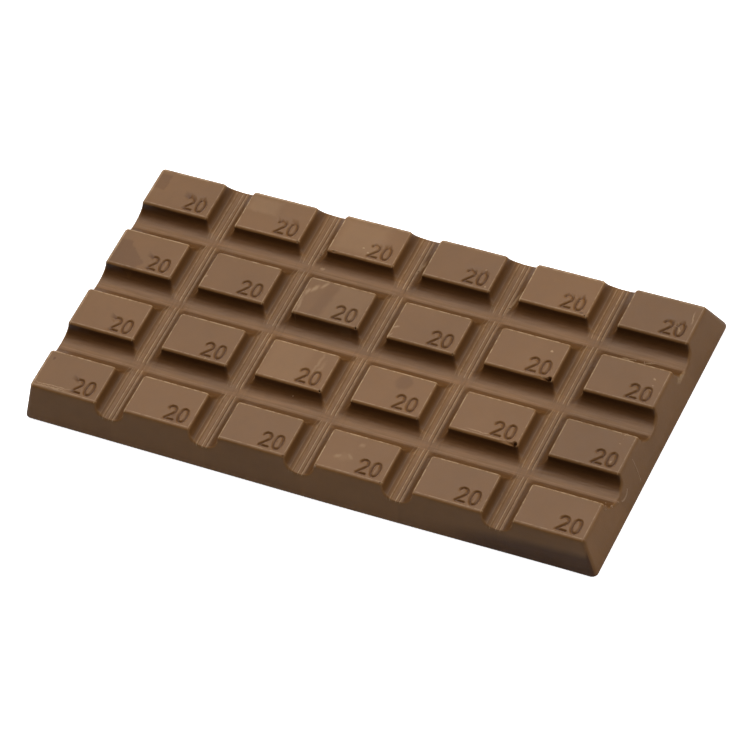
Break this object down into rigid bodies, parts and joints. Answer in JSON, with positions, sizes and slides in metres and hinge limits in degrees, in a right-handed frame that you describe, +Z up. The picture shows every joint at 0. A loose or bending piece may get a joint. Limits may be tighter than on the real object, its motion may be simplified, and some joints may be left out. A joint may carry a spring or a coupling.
{
  "type": "milk chocolate bar",
  "caption": "Rectangular bar of milk chocolate, moulded as rows of small flat-topped pieces parted by rounded break grooves, with a plain number pressed into each piece.",
  "frame": {"origin": "centre of the flat underside", "axes": "+X along the bar, to the right as its numbers are read; +Y across it, towards the tops of the numbers; +Z up, out of the moulded face"},
  "size_m": [0.145, 0.0728, 0.0093],
  "materials": {
    "chocolate": "satin"
  },
  "bodies": {
    "root": {"bar": "chocolate"}
  },
  "joints": []
}
